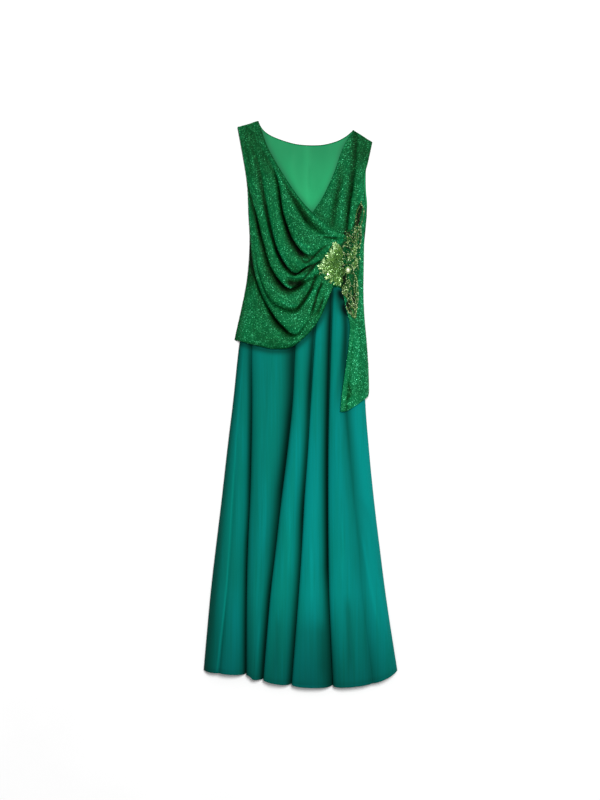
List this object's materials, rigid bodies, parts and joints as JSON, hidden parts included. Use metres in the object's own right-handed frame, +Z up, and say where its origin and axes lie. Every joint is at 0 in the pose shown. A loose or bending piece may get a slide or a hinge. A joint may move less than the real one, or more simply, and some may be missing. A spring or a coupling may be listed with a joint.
{
  "type": "evening dress",
  "caption": "Sleeveless floor-length evening dress laid flat: draped glitter wrap bodice, beaded waist motif, side cascade and pleated chiffon skirt.",
  "frame": {"origin": "centre of the laid dress's box, on the surface that it lies on", "axes": "+Y from the hem to the shoulders, +X to the right of someone who looks down at the front, +Z up, away from the surface"},
  "size_m": [0.514, 1.4973, 0.0375],
  "materials": {
    "glitter_jersey": "knit jersey with fine sewn sequins and glitter",
    "chiffon": "matt chiffon over a plain under-skirt",
    "lining": "smooth plain lining",
    "beads": "glass beads and paillettes on net",
    "stone": "polished oval cabochon"
  },
  "bodies": {
    "root": {"bodice_back": "glitter_jersey", "back_lining": "lining", "bodice_front_under": "glitter_jersey", "bodice_front_drape": "glitter_jersey", "side_cascade": "glitter_jersey", "skirt_back": "chiffon", "skirt_front": "chiffon", "motif_mat": "beads", "motif_stone": "stone"}
  },
  "joints": []
}
